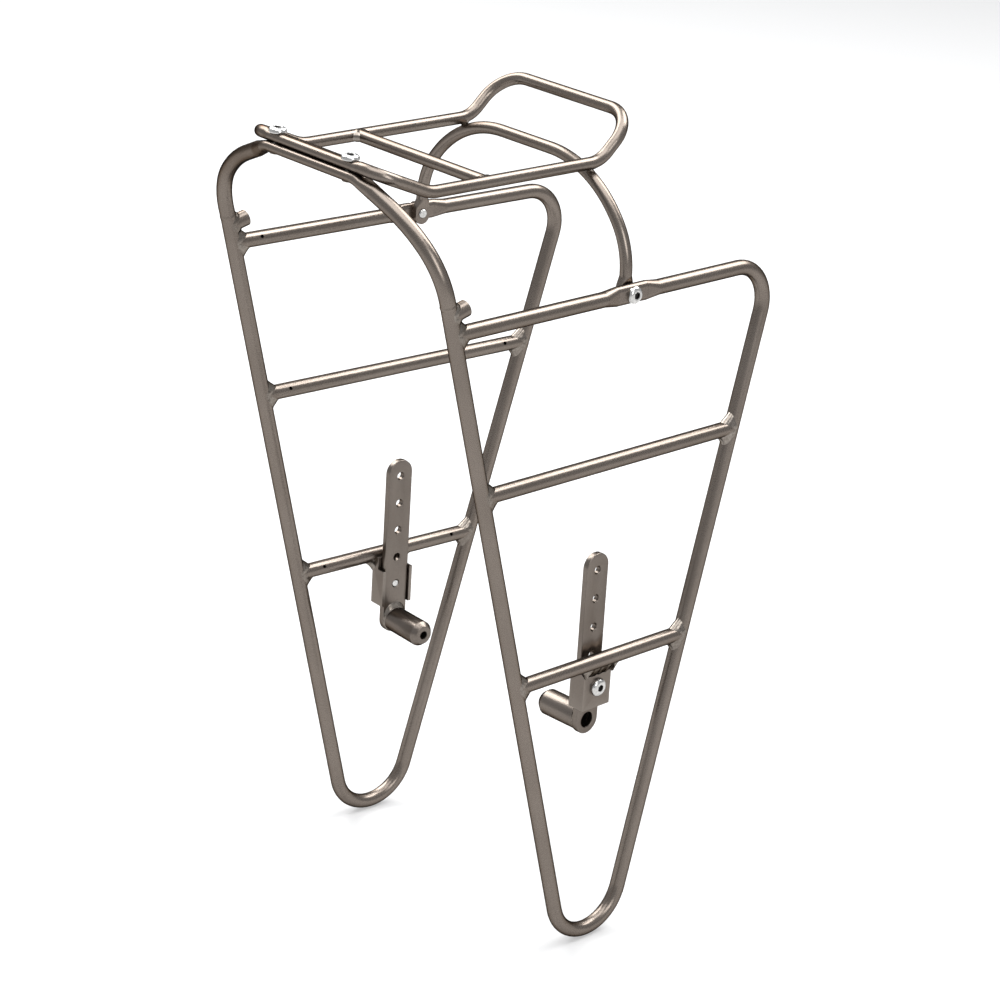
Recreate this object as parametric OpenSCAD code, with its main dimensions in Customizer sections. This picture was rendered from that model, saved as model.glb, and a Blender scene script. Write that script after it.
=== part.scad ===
// Bicycle pannier rack with two V-shaped side frames, a bolt-on deck and adjustable feet.
// +X is the bicycle's left, +Y its rear and +Z up. The origin is midway between the two
// foot barrels, on the line of the fork's eyelets.

/* [Tubes] */
// Outside diameter of the frame tube
frame_d = 9.6; // [9:0.1:10.2]
// Wall of the frame tube
frame_wall = 1.8; // [1.2:0.1:2.2]
// Outside diameter of the deck and stay tube
deck_d = 7.6; // [7.2:0.1:8.2]
// Wall of the deck and stay tube
deck_wall = 1.4; // [1:0.1:1.8]

/* [Side frames] */
// Distance from the centre plane to a side frame, at the eyelet line
side_x = 105.3; // [104:0.1:107]
// Inward lean of a side frame towards its top, degrees
side_splay = 1.3; // [0:0.05:1.5]
// Inward turn of a side frame towards the rear, degrees
side_toe = 1.72; // [0:0.02:2]
// Height of the top rail above the eyelet line
rail_z = 278; // [270:1:290]
// Half of the V's width along the top rail
v_half = 133.4; // [130:0.2:136]
// Where the V's middle lies along the rack
v_y = 1; // [-4:0.5:6]
// Lean of each leg of the V, degrees
leg_angle = 14.85; // [14:0.05:15.5]
// Bend radius at the bottom of the V
v_bend_r = 29; // [26:0.5:32]
// Bend radius at the top rear corner
corner_r = 25; // [22:0.5:30]
// Height of the middle rung
mid_z = 174; // [160:1:185]
// Height of the low rung
low_z = 44; // [42:1:48]

/* [Arch over the wheel] */
// Height of the seam where the arch meets the front leg
seam_z = 295.6; // [294:0.2:297]
// Height of the arch's flat middle
arch_z = 357.4; // [356:0.2:359]
// Lean of the arch, degrees
arch_lean = 16.5; // [16:0.1:17.5]
// Half length of the arch's flat middle
arch_flat = 37; // [36:0.5:37.5]
// Bend radius above the seam
arch_low_r = 46; // [44:1:48]
// Turn of the bend above the seam, degrees
arch_low_turn = 45; // [43:1:47]
// Bend radius of the arch's shoulders
arch_mid_r = 78; // [74:1:82]
// Slope of the arch beside its flat middle, degrees from upright
arch_mid_turn = 65; // [63:1:67]
// Bend radius beside the flat middle
arch_top_r = 15; // [14:1:16]

/* [Deck] */
// Distance from the centre plane to a deck rail
deck_x = 59; // [55:0.5:62]
// Height of the deck rails
deck_z = 348; // [347:0.5:350]
// Where the ramp to the front bar starts
ramp_y = -117.5; // [-120:0.5:-114]
// Where the backstop starts to rise
stop_y = 14.5; // [10:0.5:18]
// Where the backstop's top bar lies
stop_top_y = 41; // [39:0.5:46]
// Height of the backstop's top bar
stop_z = 372.8; // [370:0.2:378]
// Bend radius of the deck's front corners
front_r = 15; // [14:0.5:18]
// Bend radius of the deck's rear corners
stop_r = 21; // [16:0.5:22]
// Where the cross strut lies
strut_y = -74.5; // [-85:0.5:-50]

/* [Rear stay] */
// Where the stay stands along the rack
stay_y = 8.9; // [8:0.1:9.6]
// Half width of the stay at its feet
stay_x = 93.7; // [93.4:0.1:94]
// Height of the stay's middle
stay_z = 348.2; // [347.8:0.2:348.6]
// Bend radius beside the stay's middle
stay_top_r = 77; // [74:0.5:78]
// Bend radius above the stay's feet
stay_low_r = 48; // [44:0.5:50]
// Turn of each bend above the feet, degrees
stay_turn = 38; // [36:0.5:40]

/* [Feet] */
// Where the foot bar's centre line lies along the rack
foot_y = 1.6; // [-1:0.2:3]
// Inward turn of a foot towards the rear, degrees
foot_toe = 3; // [0:0.5:5]
// Foot bar's width
bar_w = 18.6; // [18:0.2:19.4]
// Foot bar's thickness
bar_t = 4.2; // [3.8:0.1:4.4]
// Outer face of the foot bar
bar_x = 96.4; // [96:0.1:96.8]
// Spacing of the foot bar's holes
hole_pitch = 19; // [18:0.5:19.5]
// Number of holes in the foot bar
hole_count = 5; // [3:1:5]
// Height of the foot bolt
foot_bolt_z = 25; // [24:0.5:27]
// Outside diameter of the foot barrel
barrel_d = 17; // [16:0.1:17.6]
// Inner end of the foot barrel
barrel_end_x = 59.5; // [57:0.5:62]

/* [Hidden] */
$fn = 64;

bronze = [0.40, 0.37, 0.33];
stainless = [0.80, 0.80, 0.80];

lap = 0.02;               // neighbouring pieces of one tube overlap by this much
blend_over = 0.05;        // a pressed blend is this much fatter than its neighbours
weld_gap = 0.02;          // gap between a tube's end and the part it is welded to
sleeve_gap = 0.25;        // radial clearance of the seam sleeves
seam_gap = 0.3;           // each tube stops this far from the seam
sleeve_l = 14;            // how far a sleeve reaches into the leg
sleeve_top = 5;           // how far it reaches into the arch
vent_d = 2.4;             // vent holes near the ends of the rungs
vent_inset = 18.5;        // from the leg's centre line to a vent hole
vent_tilt = 30;           // a vent hole faces inwards, turned up by this angle

rail_press = [12.2, 6.4]; // pressed part of the top rail: height, thickness
rail_press_l = 24;
press_blend = 10;         // length over which a tube turns from round to flat
arch_press = [11.7, 6.2]; // pressed middle of the arch: width, thickness
deck_press = [8.6, 6];    // pressed front bar of the deck: width, thickness
deck_blend = 4;
stay_tab = [11, 3.6];     // pressed feet of the stay: width, thickness
tab_below = 1.5;          // centre of a tab's round end below its screw
tab_above = 3.8;          // top of a tab above its screw
tab_blend = 5.6;
knee_r = 30;              // bend between ramp and deck rail
kick_r = 20;              // bend between deck rail and backstop
link = 1;                 // straight length between a bend and its next shape

screw_r = 3;              // M6 shank
screw_hole_r = 3.25;
thread_gap = 0.02;        // between a shank and a threaded wall
button_head = [5.4, 3.1]; // radius and height
foot_head = [5.9, 3.3];
hex_af = 4;
hex_depth = 2;
deck_screw_x = 33.5;
deck_screw_l = 12;
insert_r = 4.4;
insert_l = 6.5;

boss_r = 5;
boss_reach = 12;          // from the leg's centre line to the boss's end
boss_z = 289.6;           // where the boss's axis meets the leg's centre line
boss_hole_r = 2.1;        // core of an M5 thread
boss_hole_l = 6;

channel_x = 102.8;        // outer face of the foot channel
channel_z = 11;           // underside
channel_wall = 2.2;       // flanges beside the foot bar
channel_lip = 1.6;        // how far the flanges reach past the bar
flange_top_z = 36;
slide_gap = 0.3;
bar_thread_r = 2.5;       // core of an M6 thread
bar_over = 11;            // bar above the centre of its top hole
bore_r = 5;               // counterbore for the eyelet screw's head
bore_end_x = 70.6;        // bottom of the counterbore
eyelet_r = 2.75;
barrel_chamfer = [2.6, 3.4]; // radial, along the barrel

frame_r = frame_d / 2;
deck_r = deck_d / 2;
leg_tan = tan(leg_angle);
apex_z = rail_z - v_half / leg_tan;
v_centre = [v_y, apex_z + v_bend_r / sin(leg_angle)];
front_top = [v_y - v_half - (seam_z - rail_z) * leg_tan, seam_z];
front_cross = [v_y - v_half, rail_z];
rear_apex = [v_y + v_half, rail_z];
corner_setback = corner_r * tan((90 + leg_angle) / 2);
rail_rear = rear_apex - [corner_setback, 0];
rail_screw = [stay_y, rail_z];
bar_in_x = bar_x - bar_t;

// ---------- places ----------
function polar(r, a) = r * [cos(a), sin(a)];
function towards(p, q, t) = p + (q - p) * t / norm(q - p);
function leg_y(z, rear) = v_y + (rear ? 1 : -1) * (z - apex_z) * leg_tan;

// A point of the left side frame's plane, in the rack's own frame
function left_point(p) = [
    side_x - p[1] * sin(side_splay) * cos(side_toe) - p[0] * sin(side_toe),
    p[0] * cos(side_toe) - p[1] * sin(side_splay) * sin(side_toe),
    p[1] * cos(side_splay)
];

// Draws in the left side frame's plane: x to the rear, y up, z outwards
module left_plane() {
    translate([side_x, 0, 0]) rotate([0, -side_splay, side_toe]) rotate([90, 0, 90]) children();
}

module on_side(right) {
    mirror([right ? 1 : 0, 0, 0]) children();
}

module both_sides() {
    on_side(false) children();
    on_side(true) children();
}

// ---------- tube pieces that lie in the plane z = 0 ----------
module ring_2d(d, wall) {
    difference() {
        circle(d = d);
        circle(d = d - 2 * wall);
    }
}

// A slot of overall size [length, width], longer along x
module slot_2d(size) {
    square([size[0] - size[1], size[1]], center = true);
    for (s = [-1, 1]) translate([s * (size[0] - size[1]) / 2, 0]) circle(d = size[1]);
}

module slot_ring_2d(size, wall) {
    difference() {
        slot_2d(size);
        slot_2d(size - 2 * wall * [1, 1]);
    }
}

// Places a piece that stands on z = 0 so that it runs from p towards q.
// Its x then lies in the plane, to the left, and its y along the plane's normal.
module run(p, q) {
    translate([p[0], p[1], 0]) rotate([0, 0, atan2(q[1] - p[1], q[0] - p[0])])
        rotate([90, 0, 90]) children();
}

// A length of tube from z = 0 to z = l, or of pressed tube where size is given
module tube(l, d, wall, size = [0, 0]) {
    translate([0, 0, -lap]) linear_extrude(l + 2 * lap) {
        if (size[0] > 0)
            slot_ring_2d(size, wall);
        else
            ring_2d(d, wall);
    }
}

module straight(p, q, d, wall) {
    run(p, q) tube(norm(q - p), d, wall);
}

module rod(p, q, d) {
    run(p, q) cylinder(d = d, h = norm(q - p));
}

// A bend about centre c that starts at angle a and turns counter-clockwise. Where size is
// given it is a bend of pressed tube whose section is tilted.
module bend(c, r, a, turn, d, wall, size = [0, 0], tilt = 0) {
    translate([c[0], c[1], 0]) rotate([0, 0, a])
        rotate_extrude(angle = turn, $fn = 96) translate([r, 0]) {
            if (size[0] > 0)
                rotate([0, 0, tilt]) slot_ring_2d(size + 2 * lap * [1, 1], wall + 2 * lap);
            else
                ring_2d(d + 2 * lap, wall + 2 * lap);
        }
}

// Turns from round, at z = 0, to a slot of the given size at z = l
module blend_solid(d, size, l, turn) {
    hull() {
        translate([0, 0, -lap]) cylinder(d = d, h = lap, $fn = 48);
        translate([0, 0, l]) rotate([0, 0, turn]) linear_extrude(lap) slot_2d(size, $fn = 48);
    }
}

module press_blend_tube(d, size, wall, l, turn = 0) {
    grow = 2 * blend_over;
    shrink = 2 * (wall + lap);
    difference() {
        blend_solid(d + grow, size + grow * [1, 1], l, turn);
        translate([0, 0, -lap]) blend_solid(d - shrink, size - shrink * [1, 1], l, turn);
        translate([0, 0, lap]) blend_solid(d - shrink, size - shrink * [1, 1], l, turn);
    }
}

// ---------- screws ----------
module hex_socket(top) {
    translate([0, 0, top - hex_depth]) cylinder(d = hex_af / cos(30), h = hex_depth + 1, $fn = 6);
}

// A domed screw head whose underside is z = 0
module button_screw(head, shank_l) {
    difference() {
        union() {
            cylinder(r = head[0], h = head[1] * 0.35);
            translate([0, 0, head[1] * 0.35])
                cylinder(r1 = head[0], r2 = head[0] * 0.62, h = head[1] * 0.65);
            translate([0, 0, -shank_l]) cylinder(r = screw_r, h = shank_l + 0.1);
        }
        hex_socket(head[1]);
    }
}

// ---------- side frames ----------
module vent_holes(z) {
    for (rear = [false, true])
        translate([leg_y(z, rear) + (rear ? -1 : 1) * vent_inset, z, 0])
            rotate([vent_tilt, 0, 0]) translate([0, 0, -frame_r - 1])
                cylinder(d = vent_d, h = frame_r);
}

module top_rail() {
    half = rail_press_l / 2;
    start = stay_y - half - press_blend;
    finish = stay_y + half + press_blend;
    straight(front_cross, [start, rail_z], frame_d, frame_wall);
    straight([finish, rail_z], rail_rear, frame_d, frame_wall);
    run([stay_y - half, rail_z], rear_apex)
        tube(rail_press_l, frame_d, frame_wall, rail_press);
    run([start, rail_z], rear_apex)
        press_blend_tube(frame_d, rail_press, frame_wall, press_blend);
    run([finish, rail_z], front_cross)
        press_blend_tube(frame_d, rail_press, frame_wall, press_blend);
}

module v_tube() {
    front_low = v_centre + polar(v_bend_r, 180 + leg_angle);
    rear_low = v_centre + polar(v_bend_r, -leg_angle);
    straight(towards(front_top, front_low, seam_gap), front_low, frame_d, frame_wall);
    bend(v_centre, v_bend_r, 180 + leg_angle, 180 - 2 * leg_angle, frame_d, frame_wall);
    straight(rear_low, towards(rear_apex, rear_low, corner_setback), frame_d, frame_wall);
    bend(rail_rear - [0, corner_r], corner_r, -leg_angle, 90 + leg_angle, frame_d, frame_wall);
}

module side_tube(right) {
    color(bronze) on_side(right) left_plane() difference() {
        union() {
            v_tube();
            difference() {
                top_rail();
                rod(front_low_point(), front_top, frame_d + 2 * weld_gap);
            }
        }
        translate([rail_screw[0], rail_screw[1], -frame_r])
            cylinder(r = screw_hole_r, h = frame_d);
        vent_holes(rail_z);
    }
}

function front_low_point() = v_centre + polar(v_bend_r, 180 + leg_angle);

module rung(right, z) {
    front = [leg_y(z, false), z];
    rear = [leg_y(z, true), z];
    color(bronze) on_side(right) left_plane() difference() {
        straight(front, rear, frame_d, frame_wall);
        rod(front_low_point(), front_top, frame_d + 2 * weld_gap);
        rod(v_centre + polar(v_bend_r, -leg_angle), rear_apex, frame_d + 2 * weld_gap);
        vent_holes(z);
    }
}

module strut_boss(right) {
    base = [leg_y(boss_z, false), boss_z];
    tip = base + polar(boss_reach, leg_angle);
    color(bronze) on_side(right) left_plane() difference() {
        rod(base, tip, 2 * boss_r);
        rod(front_low_point(), front_top, frame_d + 2 * weld_gap);
        rod(tip - polar(boss_hole_l, leg_angle), tip + polar(1, leg_angle), 2 * boss_hole_r);
    }
}

// ---------- arch ----------
seam = left_point(front_top);
arch_y = seam[1] - (arch_z - seam[2]) * tan(arch_lean);

module arch_plane() {
    translate([0, seam[1], seam[2]]) rotate([90 + arch_lean, 0, 0]) children();
}

module arch_half() {
    a = arch_low_turn;
    b = arch_mid_turn;
    rise = (arch_z - seam[2]) / cos(arch_lean);
    slope_l = (seam[0] - arch_flat - arch_low_r * (1 - cos(a)) - link * sin(a)
        - arch_mid_r * (cos(a) - cos(b)) - arch_top_r * cos(b)) / sin(b);
    upright = rise - arch_low_r * sin(a) - link * cos(a) - arch_mid_r * (sin(b) - sin(a))
        - slope_l * cos(b) - arch_top_r * (1 - sin(b));
    low_centre = [seam[0] - arch_low_r, upright];
    low_end = low_centre + polar(arch_low_r, a);
    mid_start = low_end + polar(link, a + 90);
    mid_centre = mid_start - polar(arch_mid_r, a);
    mid_end = mid_centre + polar(arch_mid_r, b);
    top_centre = [arch_flat, rise - arch_top_r];
    straight([seam[0], seam_gap], [seam[0], upright], frame_d, frame_wall);
    bend(low_centre, arch_low_r, 0, a, frame_d, frame_wall);
    straight(low_end, mid_start, frame_d, frame_wall);
    bend(mid_centre, arch_mid_r, a, b - a, frame_d, frame_wall);
    top_start = top_centre + polar(arch_top_r, b);
    blend_end = towards(top_start, mid_end, link);
    blend_start = towards(top_start, mid_end, link + press_blend);
    straight(mid_end, blend_start, frame_d, frame_wall);
    run(blend_start, top_start)
        press_blend_tube(frame_d, arch_press, frame_wall, press_blend, 90 + arch_lean);
    run(blend_end, top_start) rotate([0, 0, 90 + arch_lean])
        tube(link, frame_d, frame_wall, arch_press);
    bend(top_centre, arch_top_r, b, 90 - b, frame_d, frame_wall, arch_press, 90 - arch_lean);
}

module front_arch() {
    color(bronze) difference() {
        union() {
            both_sides() arch_plane() arch_half();
            translate([-arch_flat, arch_y, arch_z]) rotate([90, 0, 90])
                tube(2 * arch_flat, frame_d, frame_wall, arch_press);
        }
        both_sides() translate([deck_screw_x, arch_y, arch_z])
            cylinder(r = insert_r + weld_gap, h = 20, center = true);
    }
}

module seam_sleeve(right) {
    d = frame_d - 2 * frame_wall - 2 * sleeve_gap;
    bottom = towards(front_top, front_low_point(), sleeve_l);
    color(bronze) on_side(right) left_plane()
        rod(bottom, towards(front_top, bottom, -sleeve_top), d);
}

// ---------- deck ----------
seat_z = arch_z + arch_press[1] / 2 + weld_gap;
front_bar_z = seat_z + deck_press[1] / 2;
ramp_angle = atan((front_bar_z - deck_z) / (ramp_y - arch_y));
ramp_l = norm([front_bar_z - deck_z, ramp_y - arch_y]);
knee_set = knee_r * tan(ramp_angle / 2);
kick_angle = atan((stop_z - deck_z) / (stop_top_y - stop_y));
kick_l = norm([stop_z - deck_z, stop_top_y - stop_y]);
kick_set = kick_r * tan(kick_angle / 2);

module deck_side() {
    translate([0, arch_y, front_bar_z]) rotate([-ramp_angle, 0, 0]) {
        bend([deck_x - front_r, front_r], front_r, -90, 90, deck_d, deck_wall);
        straight([deck_x, front_r], [deck_x, ramp_l - knee_set], deck_d, deck_wall);
    }
    translate([deck_x, 0, 0]) rotate([90, 0, 90]) {
        bend([ramp_y + knee_set, deck_z + knee_r], knee_r, -90 - ramp_angle, ramp_angle,
            deck_d, deck_wall);
        straight([ramp_y + knee_set, deck_z], [stop_y - kick_set, deck_z], deck_d, deck_wall);
        bend([stop_y - kick_set, deck_z + kick_r], kick_r, -90, kick_angle, deck_d, deck_wall);
    }
    translate([0, stop_top_y, stop_z]) rotate([kick_angle, 0, 0]) {
        straight([deck_x, kick_set - kick_l], [deck_x, -stop_r], deck_d, deck_wall);
        bend([deck_x - stop_r, -stop_r], stop_r, 0, 90, deck_d, deck_wall);
    }
}

module stop_bar() {
    translate([0, stop_top_y, stop_z]) rotate([kick_angle, 0, 0])
        straight([stop_r - deck_x, 0], [deck_x - stop_r, 0], deck_d, deck_wall);
}

module front_bar() {
    round_x = deck_x - front_r - link;
    flat_x = round_x - deck_blend;
    rotate([90, 0, 90]) translate([0, 0, -flat_x])
        tube(2 * flat_x, deck_d, deck_wall, deck_press);
    both_sides() translate([round_x, 0, 0]) rotate([90, 0, -90]) {
        press_blend_tube(deck_d, deck_press, deck_wall, deck_blend);
        translate([0, 0, -link]) tube(link, deck_d, deck_wall);
    }
}

module deck_loop() {
    color(bronze) difference() {
        union() {
            both_sides() deck_side();
            stop_bar();
            translate([0, arch_y, front_bar_z]) front_bar();
        }
        both_sides() translate([deck_screw_x, arch_y, front_bar_z])
            cylinder(r = screw_hole_r, h = 20, center = true);
    }
}

module deck_strut() {
    color(bronze) difference() {
        translate([-deck_x, strut_y, deck_z]) rotate([0, 90, 0])
            linear_extrude(2 * deck_x) ring_2d(deck_d, deck_wall);
        both_sides() translate([deck_x, strut_y, deck_z]) rotate([90, 0, 0])
            cylinder(r = deck_r + weld_gap, h = 4 * deck_d, center = true);
    }
}

module deck_inserts() {
    color(stainless) both_sides() translate([deck_screw_x, arch_y, seat_z - insert_l])
        linear_extrude(insert_l) ring_2d(2 * insert_r, insert_r - screw_r - thread_gap);
}

module deck_screws() {
    color(stainless) both_sides()
        translate([deck_screw_x, arch_y, front_bar_z + deck_press[1] / 2])
            button_screw(button_head, deck_screw_l);
}

// ---------- rear stay ----------
stay_mid_x = stay_x - stay_low_r * (1 - cos(stay_turn)) - link * sin(stay_turn)
    - stay_top_r * cos(stay_turn);
stay_bend_z = stay_z - stay_top_r * (1 - sin(stay_turn)) - link * cos(stay_turn)
    - stay_low_r * sin(stay_turn);
tab_out = -(rail_press[1] + stay_tab[1]) / 2 - weld_gap;

module stay_plane() {
    translate([0, stay_y, 0]) rotate([90, 0, 0]) children();
}

module stay_arm() {
    tube_z = rail_z + tab_above + tab_blend;
    stay_plane() {
        straight([stay_x, tube_z], [stay_x, stay_bend_z], deck_d, deck_wall);
        bend([stay_x - stay_low_r, stay_bend_z], stay_low_r, 0, stay_turn, deck_d, deck_wall);
        straight([stay_x - stay_low_r, stay_bend_z] + polar(stay_low_r, stay_turn),
            [stay_mid_x, stay_z - stay_top_r] + polar(stay_top_r, stay_turn),
            deck_d, deck_wall);
        bend([stay_mid_x, stay_z - stay_top_r], stay_top_r, stay_turn, 90 - stay_turn,
            deck_d, deck_wall);
    }
    hull() {
        translate([stay_x, stay_y, tube_z]) cylinder(d = deck_d + 2 * blend_over, h = lap, $fn = 48);
        left_plane() translate([stay_y, rail_z + tab_above - lap, tab_out])
            cube([stay_tab[0] + 2 * blend_over, lap, stay_tab[1] + 2 * blend_over], center = true);
    }
}

module stay_foot() {
    round_z = rail_z - tab_below;
    left_plane() translate([0, 0, tab_out]) difference() {
        union() {
            translate([stay_y, (round_z + rail_z + tab_above) / 2, 0])
                cube([stay_tab[0], tab_below + tab_above, stay_tab[1]], center = true);
            translate([stay_y, round_z, 0])
                cylinder(d = stay_tab[0], h = stay_tab[1], center = true);
        }
        translate([rail_screw[0], rail_screw[1], 0])
            cylinder(r = screw_r + thread_gap, h = 2 * stay_tab[1], center = true);
    }
}

module rear_stay() {
    color(bronze) difference() {
        union() {
            both_sides() {
                stay_arm();
                stay_foot();
            }
            stay_plane() straight([-stay_mid_x, stay_z], [stay_mid_x, stay_z], deck_d, deck_wall);
        }
        translate([0, stay_y, stay_z - deck_d]) cylinder(d = vent_d, h = deck_d);
    }
}

module stay_screws() {
    shank = rail_press[1] + stay_tab[1] + 1;
    color(stainless) both_sides() left_plane()
        translate([rail_screw[0], rail_screw[1], rail_press[1] / 2])
            button_screw(button_head, shank);
}

// ---------- feet ----------
// Draws across the left foot, from a distance x out: x to the rear, y up and z outwards
module foot_plane(x) {
    translate([bar_x, foot_y, 0]) rotate([90, 0, 90 + foot_toe]) translate([0, 0, x - bar_x])
        children();
}

module foot_channel(right) {
    w = bar_w + 2 * (channel_wall + slide_gap);
    slot_w = bar_w + 2 * slide_gap;
    inner_x = bar_in_x - channel_lip;
    web_x = bar_x + slide_gap;
    color(bronze) on_side(right) difference() {
        union() {
            foot_plane(inner_x) translate([-w / 2, channel_z])
                cube([w, flange_top_z - channel_z, channel_x - inner_x]);
            foot_plane(web_x) translate([-w / 2, channel_z])
                cube([w, low_z - channel_z, channel_x - web_x]);
        }
        foot_plane(inner_x - 1) translate([-slot_w / 2, channel_z - 1])
            cube([slot_w, low_z, web_x - inner_x + 1]);
        left_plane() rod([leg_y(low_z, false), low_z], [leg_y(low_z, true), low_z],
            frame_d + 2 * weld_gap);
        foot_plane(web_x - 1) translate([0, foot_bolt_z]) cylinder(r = screw_hole_r, h = 20);
    }
}

module foot_bar(right) {
    top_z = foot_bolt_z + (hole_count - 1) * hole_pitch + bar_over;
    r = bar_w / 2;
    color(bronze) on_side(right) foot_plane(bar_in_x) difference() {
        union() {
            translate([-r, 0]) cube([bar_w, top_z - r, bar_t]);
            cylinder(r = r, h = bar_t);
            translate([0, top_z - r]) cylinder(r = r, h = bar_t);
        }
        translate([0, 0, -1]) cylinder(r = bore_r, h = bar_t + 2);
        for (i = [0 : hole_count - 1]) translate([0, foot_bolt_z + i * hole_pitch, -1])
            cylinder(r = bar_thread_r, h = bar_t + 2);
    }
}

module foot_barrel(right) {
    r = barrel_d / 2;
    color(bronze) on_side(right) foot_plane(barrel_end_x) difference() {
        union() {
            cylinder(r1 = r - barrel_chamfer[0], r2 = r, h = barrel_chamfer[1]);
            translate([0, 0, barrel_chamfer[1]])
                cylinder(r = r, h = bar_in_x - barrel_end_x - barrel_chamfer[1] - weld_gap);
        }
        translate([0, 0, bore_end_x - barrel_end_x]) cylinder(r = bore_r, h = 40);
        translate([0, 0, -1]) cylinder(r = eyelet_r, h = 40);
    }
}

module foot_screws() {
    color(stainless) both_sides() foot_plane(channel_x) translate([0, foot_bolt_z])
        button_screw(foot_head, channel_x - bar_x - slide_gap);
}

side_tube(false);  // side_tube_left
side_tube(true);  // side_tube_right
rung(false, mid_z);  // mid_rung_left
rung(true, mid_z);  // mid_rung_right
rung(false, low_z);  // low_rung_left
rung(true, low_z);  // low_rung_right
seam_sleeve(false);  // seam_sleeve_left
seam_sleeve(true);  // seam_sleeve_right
strut_boss(false);  // strut_boss_left
strut_boss(true);  // strut_boss_right
front_arch();
deck_loop();
deck_strut();
rear_stay();
deck_inserts();
deck_screws();
stay_screws();
foot_channel(false);  // foot_channel_left
foot_channel(true);  // foot_channel_right
foot_bar(false);  // foot_bar_left
foot_bar(true);  // foot_bar_right
foot_barrel(false);  // foot_barrel_left
foot_barrel(true);  // foot_barrel_right
foot_screws();
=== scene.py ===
import contextlib
import math

import bmesh
import bpy
from mathutils import Matrix, Vector


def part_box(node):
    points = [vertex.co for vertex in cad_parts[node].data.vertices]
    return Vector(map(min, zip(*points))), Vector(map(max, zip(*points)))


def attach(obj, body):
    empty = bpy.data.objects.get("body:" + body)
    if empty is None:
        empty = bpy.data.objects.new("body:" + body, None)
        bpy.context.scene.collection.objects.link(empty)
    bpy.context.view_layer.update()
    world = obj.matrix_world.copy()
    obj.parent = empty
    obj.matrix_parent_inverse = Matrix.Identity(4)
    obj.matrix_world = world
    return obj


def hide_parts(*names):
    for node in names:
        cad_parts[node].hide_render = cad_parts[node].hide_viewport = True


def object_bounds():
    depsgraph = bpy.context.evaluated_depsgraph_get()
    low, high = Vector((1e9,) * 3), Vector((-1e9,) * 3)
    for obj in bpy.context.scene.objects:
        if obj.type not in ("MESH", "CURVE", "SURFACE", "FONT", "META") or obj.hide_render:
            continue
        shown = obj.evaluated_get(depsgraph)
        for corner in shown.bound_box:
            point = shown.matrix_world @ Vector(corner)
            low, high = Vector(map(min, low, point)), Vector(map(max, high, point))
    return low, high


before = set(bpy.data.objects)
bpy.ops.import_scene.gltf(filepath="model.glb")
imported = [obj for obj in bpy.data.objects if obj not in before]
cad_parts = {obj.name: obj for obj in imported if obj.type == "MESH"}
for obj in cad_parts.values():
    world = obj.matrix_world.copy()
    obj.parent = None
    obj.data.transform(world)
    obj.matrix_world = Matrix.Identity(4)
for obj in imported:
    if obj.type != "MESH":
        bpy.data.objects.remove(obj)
cad_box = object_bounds()

MM = 0.001

# ---------- sizes of the rack, in millimetres, as in the CAD source ----------
# The left side is built, and the right side is its mirror. +X is left, +Y rear and +Z up.
FRAME_R = 4.8                        # side tubes, rungs and front arch
DECK_R = 3.8                         # deck loop, deck strut and rear stay

SIDE_X = 105.3                       # centre plane to a side frame, at the eyelet line
SIDE_SPLAY = math.radians(1.3)       # inward lean of a side frame towards its top
SIDE_TOE = math.radians(1.72)        # inward turn of a side frame towards the rear
RAIL_Z = 278.0                       # top rail
MID_Z = 174.0                        # middle rung
LOW_Z = 44.0                         # low rung
V_HALF = 133.4                       # half of the V's width along the top rail
V_Y = 1.0                            # where the V's middle lies along the rack
LEG_ANGLE = math.radians(14.85)      # lean of each leg of the V
APEX_Z = RAIL_Z - V_HALF / math.tan(LEG_ANGLE)
RAIL_PRESS_T = 6.4                   # thickness of the pressed part of the top rail
BOSS_R = 5.0                         # strut boss
BOSS_Z = 289.6                       # where the boss's axis meets the leg's centre line

SEAM_Z = 295.6                       # seam between front leg and arch
ARCH_LEAN = math.radians(16.5)

DECK_X = 59.0                        # centre plane to a deck rail
DECK_Z = 348.0                       # deck rails
STRUT_Y = -74.5                      # cross strut of the deck
DECK_SCREW_X = 33.5
STAY_Y = 8.9                         # where the stay stands along the rack
STAY_Z = 348.2                       # the stay's middle
STAY_R = 77.0                        # bend beside the stay's middle
STAY_MID_X = 22.2                    # where that bend starts

FOOT_Y = 1.6                         # the foot bar's centre line
FOOT_TOE = math.radians(3)           # inward turn of a foot towards the rear
BAR_X = 96.4                         # outer face of the foot bar
BAR_W = 18.6                         # its width
BAR_T = 4.2                          # its thickness
BAR_IN_X = BAR_X - BAR_T
BOLT_Z = 25.0                        # the foot screw
HOLE_PITCH = 19.0
HOLE_COUNT = 5
BAR_OVER = 11.0                      # bar above the centre of its top hole
BAR_TOP = BOLT_Z + (HOLE_COUNT - 1) * HOLE_PITCH + BAR_OVER
THREAD_R = 2.5                       # core of the bar's threads
BARREL_R = 8.5
BARREL_END_X = 59.5                  # inner end of the barrel
BARREL_L = BAR_IN_X - BARREL_END_X
CHAMFER_R = 2.6                      # the barrel's chamfer, across it
CHAMFER_L = 3.4                      # and along it
BORE_R = 5.0                         # counterbore for the eyelet screw's head
BORE_START = 70.6 - BARREL_END_X     # from the barrel's inner end to the counterbore
EYELET_R = 2.75
CHANNEL_X = 102.8                    # outer face of the foot channel
CHANNEL_WALL = 2.2                   # flanges beside the foot bar
SLIDE_GAP = 0.3
CHANNEL_W = BAR_W + 2 * (CHANNEL_WALL + SLIDE_GAP)

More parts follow.
